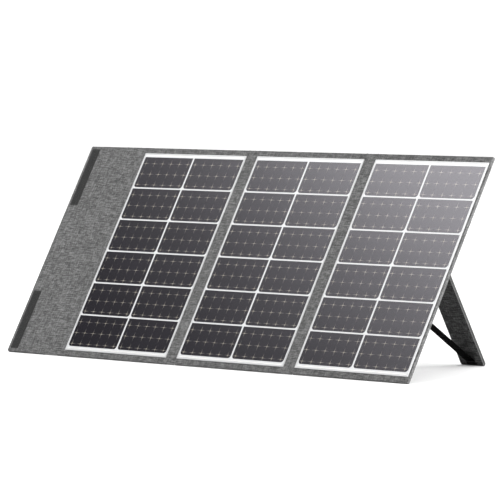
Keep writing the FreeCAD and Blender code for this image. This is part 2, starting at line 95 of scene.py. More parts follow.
KEY_PLACE, KEY_SIZE, KEY_RADIANCE = (-4.92, -2.81, 7.0), 3.05, 13.2
SIDE_PLACE, SIDE_SIZE, SIDE_RADIANCE = (6.8, 1.3, 1.1), 2.0, 40.0
DOME_RADIANCE, FLAG_RADIANCE = 1.55, 0.03
FLAG_DIRECTION, FLAG_INNER_DEG, FLAG_OUTER_DEG = (-0.705, -0.398, 0.587), 28.0, 46.0


def make_camera():
    data = bpy.data.cameras.new("camera")
    data.lens = LENS_MM
    data.sensor_width = 36.0
    camera = bpy.data.objects.new("camera", data)
    camera.location = AIM - VIEW_DIRECTION * VIEW_DISTANCE
    camera.rotation_mode = "QUATERNION"
    camera.rotation_quaternion = VIEW_DIRECTION.to_track_quat("-Z", "Y")
    bpy.context.collection.objects.link(camera)
    bpy.context.scene.camera = camera


def softbox(name, place, size, radiance):
    data = bpy.data.lights.new(name, "AREA")
    data.shape = "SQUARE"
    data.size = size
    data.energy = radiance * math.pi * size * size
    light = bpy.data.objects.new(name, data)
    light.location = place
    light.rotation_mode = "QUATERNION"
    light.rotation_quaternion = (AIM - Vector(place)).to_track_quat("-Z", "Y")
    bpy.context.collection.objects.link(light)


def make_world():
    """An even white dome, with a dark flag at front left that keeps the sheets' gloss deep."""
    world = bpy.data.worlds.new("studio")
    bpy.context.scene.world = world
    world.use_nodes = True
    tree = world.node_tree
    background = tree.nodes["Background"]
    background.inputs["Color"].default_value = (1, 1, 1, 1)
    place = tree.nodes.new("ShaderNodeTexCoord")
    facing = tree.nodes.new("ShaderNodeVectorMath")
    facing.operation = "DOT_PRODUCT"
    facing.inputs[1].default_value = Vector(FLAG_DIRECTION).normalized()
    fade = tree.nodes.new("ShaderNodeMapRange")
    fade.interpolation_type = "SMOOTHSTEP"
    fade.inputs["From Min"].default_value = math.cos(math.radians(FLAG_OUTER_DEG))
    fade.inputs["From Max"].default_value = math.cos(math.radians(FLAG_INNER_DEG))
    fade.inputs["To Min"].default_value = DOME_RADIANCE
    fade.inputs["To Max"].default_value = FLAG_RADIANCE
    tree.links.new(place.outputs["Generated"], facing.inputs[0])
    tree.links.new(facing.outputs["Value"], fade.inputs["Value"])
    tree.links.new(fade.outputs[0], background.inputs["Strength"])


def make_floor():
    mesh = bpy.data.meshes.new("floor")
    h = FLOOR_HALF
    mesh.from_pydata([(-h, -h, 0), (h, -h, 0), (h, h, 0), (-h, h, 0)], [], [(0, 1, 2, 3)])
    floor = bpy.data.objects.new("floor", mesh)
    bpy.context.collection.objects.link(floor)
    look = Look("floor_paper", 0.95)
    look.set("Specular IOR Level", 0.0)
    look.set("Base Color", (0.9, 0.9, 0.9, 1))
    mesh.materials.append(look.material)


# ================================================================ materials
class Look:
    """A procedural material, built node by node."""

    def __init__(self, name, roughness):
        self.material = bpy.data.materials.new(name)
        self.material.use_nodes = True
        self.tree = self.material.node_tree
        self.shader = self.tree.nodes["Principled BSDF"]
        self.set("Roughness", roughness)

    def set(self, socket, value):
        self.shader.inputs[socket].default_value = value

    def feed(self, socket, output):
        self.tree.links.new(output, self.shader.inputs[socket])

    def node(self, kind, **inputs):
        made = self.tree.nodes.new("ShaderNode" + kind)
        for key, value in inputs.items():
            socket = made.inputs[int(key[1:])] if key[0] == "i" and key[1:].isdigit() \
                else made.inputs[key.replace("_", " ")]
            if isinstance(value, bpy.types.NodeSocket):
                self.tree.links.new(value, socket)
            else:
                socket.default_value = value
        return made

    def math(self, operation, a, b=0.0, clamp=False):
        made = self.node("Math", i0=a, i1=b)
        made.operation = operation
        made.use_clamp = clamp
        return made.outputs[0]

    def sum_of(self, *terms):
        """The terms added up, each an output times its share."""
        total = None
        for output, share in terms:
            part = self.math("MULTIPLY", output, share)
            total = self.math("ADD", total, part) if total is not None else part
        return total

    def cloth_mm(self):
        """Where a point lies on the piece at rest, in millimetres (x, w, f)."""
        place = self.tree.nodes.new("ShaderNodeAttribute")
        place.attribute_name = "cloth"
        return self.scaled(place.outputs["Vector"], 1000.0)

    def object_mm(self, turn_deg=0.0):
        """Object coordinates in millimetres, turned about X into leaf coordinates."""
        place = self.tree.nodes.new("ShaderNodeTexCoord")
        turned = self.node("VectorRotate", Vector=place.outputs["Object"],
                           Angle=math.radians(-turn_deg))
        turned.rotation_type = "X_AXIS"
        return self.scaled(turned.outputs[0], 1000.0)

    def scaled(self, vector, factor):
        made = self.node("VectorMath", i0=vector)
        made.operation = "SCALE"
        made.inputs["Scale"].default_value = factor
        return made.outputs[0]

    def stretched(self, vector, factors):
        made = self.node("VectorMath", i0=vector, i1=factors)
        made.operation = "MULTIPLY"
        return made.outputs[0]

    def noise(self, vector, factors, detail=3.0, roughness=0.6, seed=0.0):
        moved = self.node("VectorMath", i0=self.stretched(vector, factors),
                          i1=(seed, seed * 1.7, seed * 2.3))
        moved.operation = "ADD"
        made = self.node("TexNoise", Vector=moved.outputs[0], Scale=1.0, Detail=detail,
                         Roughness=roughness)
        return made.outputs["Fac"]

    def ramp(self, value, stops):
        made = self.node("ValToRGB", Fac=value)
        ramp = made.color_ramp
        while len(ramp.elements) < len(stops):
            ramp.elements.new(0.5)
        for element, (place, colour) in zip(ramp.elements, stops):
            element.position = place
            element.color = (*colour, 1) if len(colour) == 3 else colour
        return made.outputs["Color"]

    def range(self, value, from_low, from_high, low, high):
        made = self.node("MapRange", Value=value, From_Min=from_low, From_Max=from_high,
                         To_Min=low, To_Max=high)
        return made.outputs[0]

    def bump(self, height, strength, distance_mm):
        made = self.node("Bump", Height=height, Strength=strength, Distance=distance_mm * MM)
        self.feed("Normal", made.outputs[0])

    def waves(self, vector, axis, pitch_mm):
        """A sine along one axis, from 0 to 1."""
        split = self.node("SeparateXYZ", Vector=vector)
        turns = self.math("MULTIPLY", split.outputs[axis], 2 * math.pi / pitch_mm)
        return self.range(self.math("SINE", turns), -1.0, 1.0, 0.0, 1.0)


def grey(value):
    return (value, value, value)


WEFT_SHARE, WARP_SHARE = 1.15, 0.90
CROSSED_SHARE, FIBRE_SHARE, CLOUD_SHARE = 0.43, 0.16, 0.04


def heather_look(name, dark, middle, light, gloss, sheen, spread):
    """Crosshatched heather cloth: slubs of weft and, fainter, of warp over a plain weave."""
    look = Look(name, 0.9)
    look.set("Specular IOR Level", gloss)
    look.set("Sheen Weight", sheen)
    look.set("Sheen Roughness", 0.5)
    place = look.cloth_mm()
    weft = look.noise(place, (0.062, 0.62, 0.62), 3.0, 0.6, 3.0)
    warp = look.noise(place, (0.62, 0.075, 0.62), 3.0, 0.6, 11.0)
    fibre = look.noise(place, (1.8, 1.8, 1.8), 2.0, 0.6, 5.0)
    cloud = look.noise(place, (0.02, 0.02, 0.02), 2.0, 0.5, 8.0)
    crossed = look.sum_of((weft, WEFT_SHARE), (warp, WARP_SHARE))
    mixed = look.sum_of((crossed, CROSSED_SHARE), (fibre, FIBRE_SHARE), (cloud, CLOUD_SHARE))
    # where the mix lies with each noise at one half
    centre = CROSSED_SHARE * (WEFT_SHARE + WARP_SHARE) / 2 + (FIBRE_SHARE + CLOUD_SHARE) / 2
    stops = [(0.0, dark), (0.5, middle), (1.0, light)]
    shade = look.range(mixed, centre - spread, centre + spread, 0.0, 1.0)
    look.feed("Base Color", look.ramp(shade, stops))
    over = look.waves(place, "X", 0.8)
    under = look.waves(place, "Y", 0.8)
    weave = look.math("MULTIPLY", over, under)
    height = look.sum_of((weave, 0.6), (crossed, 0.8))
    look.bump(height, 0.55, 0.35)
    rough = look.range(fibre, 0.3, 0.7, 0.82, 0.97)
    look.feed("Roughness", rough)
    return look.material


def ribbed_look(name, dark, light, pitch_mm, gloss, cross=0.35):
    """Woven tape: ribs across it, fine threads along it."""
    look = Look(name, 0.75)
    look.set("Specular IOR Level", gloss)
    place = look.cloth_mm()
    ribs = look.waves(place, "Y", pitch_mm)
    threads = look.waves(place, "X", pitch_mm * 0.45)
    fibre = look.noise(place, (2.2, 2.2, 2.2), 2.0, 0.6, 2.0)
    wear = look.noise(place, (0.05, 0.05, 0.05), 3.0, 0.6, 7.0)
    weave = look.math("ADD", ribs, look.math("MULTIPLY", threads, cross))
    mixed = look.sum_of((weave, 0.35), (fibre, 0.35), (wear, 0.3))
    look.feed("Base Color", look.ramp(look.range(mixed, 0.25, 0.8, 0.0, 1.0),
                                      [(0.0, dark), (1.0, light)]))
    look.bump(weave, 0.6, 0.25)
    look.feed("Roughness", look.range(fibre, 0.3, 0.7, 0.65, 0.85))
    return look.material


def touch_tape_look(name, dark, light, hook):
    """Hook or loop tape: a slanted grain of hooks, or tangled loops."""
    look = Look(name, 0.85)
    look.set("Specular IOR Level", 0.3)
    look.set("Sheen Weight", 0.1)
    place = look.cloth_mm()
    turned = look.node("VectorRotate", Vector=place, Angle=math.radians(38.0))
    turned.rotation_type = "Z_AXIS"
    grain = look.noise(turned.outputs[0], (0.35, 1.6, 1.0) if hook else (1.2, 1.2, 1.2), 3.0, 0.6)
    dots = look.math("MULTIPLY", look.waves(place, "X", 1.5), look.waves(place, "Y", 1.5))
    mixed = look.sum_of((grain, 0.7), (dots, 0.25))
    look.feed("Base Color", look.ramp(look.range(mixed, 0.25, 0.75, 0.0, 1.0),
                                      [(0.0, dark), (1.0, light)]))
    look.bump(mixed, 0.7, 0.4)
    look.feed("Roughness", look.range(grain, 0.3, 0.7, 0.75, 0.95))
    return look.material


def cell_look():
    """Dark back-contact silicon: fine fingers, a slow drift of tint, the gloss of the film."""
    look = Look("silicon_cell", GLOSS_ROUGHNESS)
    look.set("Specular IOR Level", 0.5)
    look.set("Specular Tint", GLOSS_TINT)
    place = look.object_mm(60.0)
    drift = look.noise(place, (0.012, 0.02, 0.02), 2.0, 0.5, 4.0)
    grain = look.noise(place, (0.9, 0.12, 0.5), 2.0, 0.6, 9.0)
    fingers = look.waves(place, "Y", 1.55)
    lines = look.math("POWER", fingers, 6.0)
    mixed = look.sum_of((drift, 0.55), (grain, 0.25), (lines, 0.2))
    look.feed("Base Color", look.ramp(look.range(mixed, 0.3, 0.75, 0.0, 1.0),
                                      [(0.0, (0.0030, 0.0024, 0.0048)),
                                       (1.0, (0.0070, 0.0056, 0.0098))]))
    return look.material


def star_look():
    """Pale contact metal under the film, which fades along each arm by the glow attribute."""
    look = Look("contact_pad", GLOSS_ROUGHNESS)
    look.set("Specular IOR Level", 0.5)
    look.set("Specular Tint", GLOSS_TINT)
    share = look.tree.nodes.new("ShaderNodeAttribute")
    share.attribute_name = "glow"
    place = look.cloth_mm()
    grain = look.noise(place, (1.3, 1.3, 1.3), 2.0, 0.6)
    worn = look.math("MULTIPLY", share.outputs["Fac"], look.range(grain, 0.3, 0.7, 0.85, 1.1))
    look.feed("Base Color", look.ramp(worn, [(0.0, (0.0050, 0.0040, 0.0072)),
                                             (0.55, (0.115, 0.108, 0.102)),
                                             (1.0, (0.33, 0.30, 0.245))]))
    return look.material


def backsheet_look():
    look = Look("white_backsheet", 0.45)
    look.set("Specular IOR Level", 0.2)
    look.set("Coat Weight", 0.6)
    look.set("Coat Roughness", GLOSS_ROUGHNESS)
    place = look.object_mm(60.0)
    mottle = look.noise(place, (0.05, 0.05, 0.05), 3.0, 0.6, 6.0)
    weave = look.math("MULTIPLY", look.waves(place, "X", 2.4), look.waves(place, "Y", 2.4))
    look.feed("Base Color", look.ramp(mottle, [(0.3, (0.595, 0.598, 0.603)),
                                               (0.7, (0.625, 0.628, 0.633))]))
    look.feed("Roughness", look.range(mottle, 0.3, 0.7, 0.4, 0.5))
    look.bump(weave, 0.12, 0.05)
    return look.material


def rim_look():
    """The film's sealed rim, white with the sheet behind it."""
    look = Look("film_rim", 0.4)
    look.set("Specular IOR Level", 0.2)
    look.set("Coat Weight", 0.6)
    look.set("Coat Roughness", GLOSS_ROUGHNESS)
    place = look.cloth_mm()
    drift = look.noise(place, (0.05, 0.05, 0.05), 3.0, 0.6, 6.0)
    look.feed("Base Color", look.ramp(drift, [(0.3, WHITE_DARK), (0.7, WHITE_LIGHT)]))
    look.feed("Roughness", look.range(drift, 0.3, 0.7, 0.35, 0.45))
    return look.material


def metal_look(name, colour, roughness, streak=(0.3, 2.5, 0.3), space="cloth"):
    look = Look(name, roughness)
    look.set("Metallic", 1.0)
    place = look.cloth_mm() if space == "cloth" else look.object_mm(60.0)
    brushed = look.noise(place, streak, 3.0, 0.6)
    dark = tuple(c * 0.82 for c in colour)
    look.feed("Base Color", look.ramp(brushed, [(0.3, dark), (0.7, colour)]))
    look.feed("Roughness", look.range(brushed, 0.3, 0.7, roughness * 0.8, roughness * 1.25))
    look.bump(brushed, 0.15, 0.05)
    return look.material


def moulded_look(name, dark, light, roughness, grain_mm=0.45, space="object"):
    """Moulded plastic or rubber with a fine spark texture and slightly worn patches."""
    look = Look(name, roughness)
    place = look.cloth_mm() if space == "cloth" else look.object_mm(60.0)
    per_mm = 1.0 / grain_mm
    spark = look.noise(place, (per_mm, per_mm, per_mm), 2.0, 0.6)
    wear = look.noise(place, (0.06, 0.06, 0.06), 3.0, 0.6, 4.0)
    look.feed("Base Color", look.ramp(wear, [(0.3, dark), (0.7, light)]))
    look.feed("Roughness", look.range(wear, 0.3, 0.7, roughness * 0.85, roughness * 1.15))
    look.bump(spark, 0.35, 0.08)
    return look.material


def thread_look(name, dark, light):
    look = Look(name, 0.7)
    place = look.cloth_mm()
    ply = look.noise(place, (1.5, 1.5, 1.5), 2.0, 0.6)
    look.feed("Base Color", look.ramp(ply, [(0.3, dark), (0.7, light)]))
    look.bump(ply, 0.5, 0.15)
    return look.material


GLOSS_ROUGHNESS = 0.257
GLOSS_TINT = (0.955, 0.92, 1.0, 1.0)
WHITE_DARK, WHITE_LIGHT = (0.505, 0.508, 0.513), (0.532, 0.535, 0.540)
GREY = heather_look("heather_grey", grey(0.034), grey(0.090), grey(0.188), 0.25, 0.12, 0.084)
BLACK = heather_look("black_weave", grey(0.016), grey(0.046), grey(0.115), 0.08, 0.03, 0.078)
WEBBING = ribbed_look("webbing", grey(0.0006), grey(0.0015), 1.4, 0.010)
BINDING = ribbed_look("binding_tape", grey(0.010), grey(0.024), 1.2, 0.15)
ZIP_TAPE = ribbed_look("zip_tape_cloth", grey(0.010), grey(0.022), 0.9, 0.15)
# Piping cord: its light grey, far paler than the stand's cloth, is a painted highlight of the stand's lit
# edge
PIPING_PAINTED_HIGHLIGHT = ribbed_look("piping_painted_highlight", grey(0.15), grey(0.26), 1.0, 0.15)
HOOKS = touch_tape_look("hook_tape", grey(0.016), grey(0.026), True)
LOOPS = touch_tape_look("loop_tape", grey(0.022), grey(0.040), False)
CELL = cell_look()
BACKSHEET = backsheet_look()
RIM = rim_look()
STAR = star_look()
RIBBON = metal_look("tinned_ribbon", (0.80, 0.79, 0.77), 0.5)
THREAD = thread_look("grey_thread", grey(0.10), grey(0.17))
DARK_THREAD = thread_look("black_thread", grey(0.010), grey(0.024))
BOX_PLASTIC = moulded_look("box_plastic", grey(0.016), grey(0.024), 0.5)
RUBBER = moulded_look("cover_rubber", grey(0.011), grey(0.018), 0.75)
SOCKET = moulded_look("socket_plastic", grey(0.012), grey(0.02), 0.4)
BOARD = moulded_look("stiffener_board", (0.30, 0.27, 0.22), (0.36, 0.32, 0.26), 0.8, 1.5)
CIRCUIT = moulded_look("circuit_board", (0.008, 0.055, 0.022), (0.012, 0.08, 0.03), 0.4)
STEEL = metal_look("screw_steel", (0.55, 0.55, 0.56), 0.3, space="object")
TEETH = metal_look("zip_metal", (0.20, 0.20, 0.21), 0.35, space="object")


def paint(node, material):
    slots = NODES[node].data.materials
    slots.clear()
    slots.append(material)


# ================================================================ mesh building
def make_piece(name, points, faces, material, turn=LEAF_TURN, smooth=True):
    """A piece from points in leaf (or stand) coordinates, which it keeps as its cloth place."""
    mesh = bpy.data.meshes.new(name)
    mesh.from_pydata([tuple(p) for p in points], [], faces)
    place = mesh.attributes.new("cloth", "FLOAT_VECTOR", "POINT")
    place.data.foreach_set("vector", [c for p in points for c in p])
    mesh.transform(turn)
    if smooth:
        mesh.shade_smooth()
    mesh.materials.append(material)
    mesh.update()
    piece = bpy.data.objects.new(name, mesh)
    bpy.context.collection.objects.link(piece)
    return piece


EDGE_INSETS = [0.0, 0.12, 0.4, 0.8, 1.3, 1.9, 2.6, 3.3, 3.9, 4.5, 5.1, 5.8, 7.0, 9.0]


def stations(low, high, step, insets):
    """Places from low to high: close together near both ends, then about every step."""
    near = [i * MM for i in insets if i * MM < (high - low) / 2 - 0.2 * MM]
    inner_low, inner_high = low + near[-1], high - near[-1]
    count = max(1, round((inner_high - inner_low) / step))
    middle = [inner_low + (inner_high - inner_low) * i / count for i in range(1, count)]
    return [low + n for n in near] + middle + [high - n for n in reversed(near)]


def edge_height(inset, edge, half):
    """Half thickness at an inset from the outline: a boxy round edge that closes at the middle."""
    if inset >= edge:
        return half
    return half * (1.0 - (1.0 - inset / edge) ** 2.6) ** (1 / 2.6)


def both_sides(index, columns, rows):
    """Faces of a sheet's front (side 1) and back (side -1), from its points' numbers."""
    faces = []
    for side in (1, -1):
        for i in range(columns):
            for j in range(rows):
                loop = (index[side, i, j], index[side, i + 1, j],
                        index[side, i + 1, j + 1], index[side, i, j + 1])
                faces.append(loop if side > 0 else loop[::-1])
    return faces


def smooth_step(t):
    return t * t * (3 - 2 * t)


def soft_slab(name, low, high, material, turn=LEAF_TURN, edge=2.0 * MM, corners=(4.0, 4.0, 4.0, 4.0),
              seam_sides="", seam_in=4.5 * MM, step=7.0 * MM, soft=0.12 * MM, insets=EDGE_INSETS,
              grow=0.0, groove=0.32 * MM):
    """A cloth-covered plate: rounded edges and corners, a pressed seam line and slight waves.

    corners are the outline's radii in mm: lower left and right, then upper left and right.
    seam_sides holds any of l, r, b, t for the sides that have a seam line."""
    xs = stations(low.x - grow, high.x + grow, step, insets)
    ws = stations(low.y - grow, high.y + grow, step, insets)
    middle = (low.z + high.z) / 2
    half = (high.z - low.z) / 2 + grow
    nx, nw = len(xs), len(ws)
    points, index = [], {}
    for side in (1, -1):
        for i, x in enumerate(xs):
            for j, w in enumerate(ws):
                if side < 0 and (i in (0, nx - 1) or j in (0, nw - 1)):
                    index[side, i, j] = index[1, i, j]
                    continue
                to_left, to_right = x - xs[0], xs[-1] - x
                to_low, to_high = w - ws[0], ws[-1] - w
                across, along = min(to_left, to_right), min(to_low, to_high)
                radius = corners[(to_left > to_right) + 2 * (to_low > to_high)] * MM
                inset = min(across, along)
                px, pw = x, w
                if across < radius and along < radius:
                    u, v = radius - across, radius - along
                    scale = max(u, v) / max(math.hypot(u, v), 1e-9)
                    px = xs[0] + radius - u * scale if to_left < to_right else xs[-1] - radius + u * scale
                    pw = ws[0] + radius - v * scale if to_low < to_high else ws[-1] - radius + v * scale
                height = edge_height(inset, edge, half)
                gaps = {"l": to_left, "r": to_right, "b": to_low, "t": to_high}
                others = [gaps[s] for s in seam_sides]
                if others:
                    off = (min(others) - seam_in) / (0.75 * MM)
                    height -= groove * math.exp(-off * off)
                if soft:
                    ripple = noise.noise(Vector((px, pw, side * 0.4)) / (0.016))
                    swell = noise.noise(Vector((px, pw, side * 0.9)) / (0.07))
                    settle = min(1.0, inset / (6.0 * MM))
                    height += soft * (0.5 * ripple + 0.9 * swell - 0.7) * settle
                index[side, i, j] = len(points)
                points.append(Vector((px, pw, middle + side * height)))
    return make_piece(name, points, both_sides(index, nx - 1, nw - 1), material, turn)


def run_of_stitches(points, faces, a, b, up, pitch, length, radius):
    """Adds thread stitches lying along the line from a to b."""
    line = b - a
    count = max(1, int(line.length / pitch))
    along = line.normalized()
    side = along.cross(up).normalized()
    gap = line.length / count
    for i in range(count):
        centre = a + along * gap * (i + 0.5)
        rings = ((-0.5, 0.25, -0.6), (-0.3, 1.0, 0.15), (0.3, 1.0, 0.15), (0.5, 0.25, -0.6))
        first = len(points)
        for at, wide, lift in rings:
            middle = centre + along * (length * at) + up * (radius * lift)
            for k in range(6):
                turn = math.tau * k / 6
                points.append(middle + (side * math.cos(turn) + up * math.sin(turn)) * radius * wide)
        for r in range(len(rings) - 1):
            for k in range(6):
                n = (k + 1) % 6
                low, high = first + 6 * r, first + 6 * (r + 1)
                faces.append((low + k, high + k, high + n, low + n))
        faces.append(tuple(first + k for k in range(6)))
        faces.append(tuple(first + 6 * (len(rings) - 1) + k for k in reversed(range(6))))


def stitching(name, runs, material, body, turn=LEAF_TURN, pitch=4.2 * MM, length=3.1 * MM,
              radius=0.26 * MM):
    """Stitches along several (start, end, up) runs, as one piece that rides on a body."""
    points, faces = [], []
    for a, b, up in runs:
        run_of_stitches(points, faces, Vector(a), Vector(b), Vector(up), pitch, length, radius)
    piece = make_piece(name, points, faces, material, turn)
    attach(piece, body)
    return piece


def frame_runs(x0, x1, w0, w1, f, up, sides="lrbt"):
    """Stitch runs along the chosen sides of a rectangle."""
    corners = {"l": ((x0, w0), (x0, w1)), "r": ((x1, w0), (x1, w1)),
               "b": ((x0, w0), (x1, w0)), "t": ((x0, w1), (x1, w1))}
    runs = []
    for side in sides:
        (ax, aw), (bx, bw) = corners[side]
        runs.append(((ax, aw, f), (bx, bw, f), (0, 0, up)))
    return runs


# ================================================================ leaves and flap
FOLD_LAP = 2.6 * MM       # how far a fold's cloth runs onto a leaf
SIDES = {"leaf_1": "bt", "leaf_2": "bt", "leaf_3": "rbt", "flap": "lbt"}
CORNERS = {"leaf_1": (0.5, 0.5, 0.5, 0.5), "leaf_2": (0.5, 0.5, 0.5, 0.5),
           "leaf_3": (0.5, 3.0, 0.5, 3.0), "flap": (4.0, 0.5, 4.0, 0.5)}
SEAM_IN = 4.5 * MM


def cover(body):
    """The cloth skin of a leaf or of the flap, with its stitched seam."""
    low, high = extent(body + "_skin")
    name = body + "_cover"
    piece = soft_slab(name, low, high, GREY, edge=2.2 * MM, corners=CORNERS[body],
                      seam_sides=SIDES[body], seam_in=SEAM_IN)
    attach(piece, body)
    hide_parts(body + "_skin")
    x0, x1 = low.x + SEAM_IN, high.x - SEAM_IN
    if "l" not in SIDES[body]:
        x0 = low.x
    if "r" not in SIDES[body]:
        x1 = high.x
    w0, w1 = low.y + SEAM_IN, high.y - SEAM_IN
    sunk = 0.30 * MM
    runs = frame_runs(x0, x1, w0, w1, high.z - sunk, 1, SIDES[body])
    runs += frame_runs(x0, x1, w0, w1, low.z + sunk, -1, SIDES[body])
    stitching(body + "_stitching", runs, THREAD, body)


def cell_grid(body):
    """Low corner of each cell, and a cell's size, read from the CAD cells."""
    low, high = extent(body + "_cells")
    mid_x = (low.x + high.x) / 2
    gap = 2 * min(abs(round(p.x, 5) - mid_x) for p in node_points(body + "_cells"))
    width = (high.x - low.x - gap) / CELL_COLUMNS
    height = CELL_ASPECT * width
    row_gap = (high.y - low.y - CELL_ROWS * height) / (CELL_ROWS - 1)
    places = [(low.x + c * (width + gap), low.y + r * (height + row_gap))
              for c in range(CELL_COLUMNS) for r in range(CELL_ROWS)]
    return places, width, height, high.z


CELL_COLUMNS, CELL_ROWS = 2, 6
CELL_ASPECT = 0.5          # a half-cut cell's height to its width
STAR_COLUMNS, STAR_ROWS = 6, 3
STAR_X0, STAR_PITCH = 9.6 * MM, 27.9 * MM
STAR_W0 = 6.8 * MM
STAR_HUB = 1.2 * MM
ARM_ACROSS, ARM_ALONG = 13.6 * MM, 12.5 * MM
ARM_HALF = 0.46 * MM
ARM_STEPS = (0.3, 0.65, 1.0)  # places along an arm where its fading is set
ARM_GLOW, ARM_FADE = 0.92, 0.55
STAR_T = 0.02 * MM


def contact_stars(body):
    """Small pale contact stars, whose arms thin out and fade into the cell."""
    places, width, height, top = cell_grid(body)
    points, faces, glow = [], [], []
    for cx, cw in places:
        for column in range(STAR_COLUMNS):
            for row in range(STAR_ROWS):
                x, w = cx + STAR_X0 + column * STAR_PITCH, cw + STAR_W0 + row * STAR_PITCH
                margin = 0.5 * MM
                reach = (min(ARM_ACROSS, cx + width - margin - x),
                         min(ARM_ALONG, cw + height - margin - w),
                         min(ARM_ACROSS, x - cx - margin), min(ARM_ALONG, w - cw - margin))
                add_star(points, faces, glow, x, w, top, reach)
    piece = make_piece(body + "_contact_stars", points, faces, STAR, smooth=False)
    shine = piece.data.attributes.new("glow", "FLOAT", "POINT")
    shine.data.foreach_set("value", glow)
    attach(piece, body)


def add_star(points, faces, glow, x, w, top, reach):
    """A thin closed plate: a hub and four arms, with each point's share of the glow."""
    outline = []
    for k, (dx, dw) in enumerate(((1, 0), (0, 1), (-1, 0), (0, -1))):
        full = ARM_ACROSS if dw == 0 else ARM_ALONG
        sx, sw = -dw, dx
        outward = [STAR_HUB + (reach[k] - STAR_HUB) * t for t in ARM_STEPS]
        steps = [(STAR_HUB, 1.0)] + [(at, 1.0 - at / full) for at in outward]
        for side, run in ((-1, steps), (1, steps[::-1])):
            for at, share in run:
                half = ARM_HALF * (0.55 + 0.45 * max(0.0, share))
                outline.append((x + dx * at + side * sx * half, w + dw * at + side * sw * half,
                                ARM_GLOW * max(0.0, share) ** ARM_FADE))
        turn = math.radians(45 + 90 * k)
        outline.append((x + STAR_HUB * math.cos(turn), w + STAR_HUB * math.sin(turn), 1.0))
    first, count = len(points), len(outline)
    for f in (top + STAR_T * 0.25, top + STAR_T * 1.25):
        points += [Vector((px, pw, f)) for px, pw, g in outline]
        glow += [g for px, pw, g in outline]
    points += [Vector((x, w, top + STAR_T * 0.25)), Vector((x, w, top + STAR_T * 1.25))]
    glow += [1.0, 1.0]
    for i in range(count):
        n = (i + 1) % count
        faces.append((first + i, first + n, first + count + n, first + count + i))
    # Each arm is its own run of quads, so that the glow fades evenly along it.
    arm = 9
    for level, flip in ((0, True), (1, False)):
        at = first + level * count
        hub = first + 2 * count + level
        for k in range(4):
            a = at + arm * k
            for i in range(3):
                loop = (a + i, a + i + 1, a + 6 - i, a + 7 - i)
                faces.append(loop[::-1] if flip else loop)
            before = at + (arm * k - 1) % count
            for loop in ((hub, before, a), (hub, a, a + 7), (hub, a + 7, a + 8)):
                faces.append(loop[::-1] if flip else loop)


def corner_ring(x0, x1, w0, w1, f, inset):
    """The four corners of a rectangle, set in all round."""
    x0, x1, w0, w1 = x0 + inset, x1 - inset, w0 + inset, w1 - inset
    return [Vector(p) for p in ((x0, w0, f), (x1, w0, f), (x1, w1, f), (x0, w1, f))]


def bevelled_bar(x0, x1, w0, w1, f0, f1, bevel):
    """Points and faces of a flat bar whose upper edges are bevelled."""
    rings = [(0.0, f0), (0.0, f1 - bevel), (bevel, f1)]
    points, faces = [], []
    for inset, f in rings:
        points += corner_ring(x0, x1, w0, w1, f, inset)
    for r in range(len(rings) - 1):
        for k in range(4):
            n = (k + 1) % 4
            faces.append((4 * r + k, 4 * r + n, 4 * r + 4 + n, 4 * r + 4 + k))
    faces.append((8, 9, 10, 11))
    faces.append((3, 2, 1, 0))
    return points, faces


def join_parts(parts):
    points, faces = [], []
    for p, f in parts:
        first = len(points)
        points += p
        faces += [tuple(first + i for i in face) for face in f]
    return points, faces


RIBBON_W, RIBBON_T = 1.6 * MM, 0.12 * MM
CLEARANCE = 0.03 * MM
RIM_W = 3.4 * MM


def sealed_rim(low, high, foot):
    """Points and faces of a flat frame round a sheet, bevelled at both its edges."""
    bevel = 0.3 * MM
    rings = [(0.0, foot), (0.0, high.z - bevel), (bevel, high.z), (RIM_W - 2 * bevel, high.z),
             (RIM_W, foot)]
    points, faces = [], []
    for inset, f in rings:
        points += corner_ring(low.x, high.x, low.y, high.y, f, inset)
    count = len(rings)
    for r in range(count):
        after = (r + 1) % count
        for k in range(4):
            n = (k + 1) % 4
            faces.append((4 * r + k, 4 * r + n, 4 * after + n, 4 * after + k))
    return points, faces


RIBBON_INSET, RIBBON_BEVEL = 2 * MM, 0.04 * MM


def sheet(body):
    """Finishes one solar sheet: the film's rim, stars and the ribbons in its end margins.

    Only the film's rim is a piece. Its gloss over the cells is in the materials below it."""
    low, high = extent(body + "_front_film")
    cells_low, cells_high = extent(body + "_cells")
    film = make_piece(body + "_film", *sealed_rim(low, high, cells_low.z + CLEARANCE), RIM,
                      smooth=False)
    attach(film, body)
    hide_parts(body + "_front_film", body + "_encapsulant")
    contact_stars(body)
    floor_f = cells_low.z
    parts = []
    for middle in ((low.y + cells_low.y) / 2, (high.y + cells_high.y) / 2):
        parts.append(bevelled_bar(cells_low.x + RIBBON_INSET, cells_high.x - RIBBON_INSET,
                                  middle - RIBBON_W / 2, middle + RIBBON_W / 2,
                                  floor_f + CLEARANCE / 3, floor_f + RIBBON_T, RIBBON_BEVEL))
    ribbons = make_piece(body + "_ribbons", *join_parts(parts), RIBBON, smooth=False)
    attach(ribbons, body)
    paint(body + "_cells", CELL)
    paint(body + "_backsheet", BACKSHEET)
    paint(body + "_board", BOARD)


# ================================================================ folds between the leaves
HEM_INSETS = [0.0, 0.15, 0.45, 1.0, 1.8, 3.0, 3.5, 3.9, 4.6, 6.0]
HEM_L, HEM_DEPTH, HEM_ROUND = 3.6 * MM, 2.3 * MM, 1.6 * MM
FOLD_HANG, FOLD_DROP = 1.2 * MM, 0.4 * MM   # below the leaf's lower end, and below its upper end


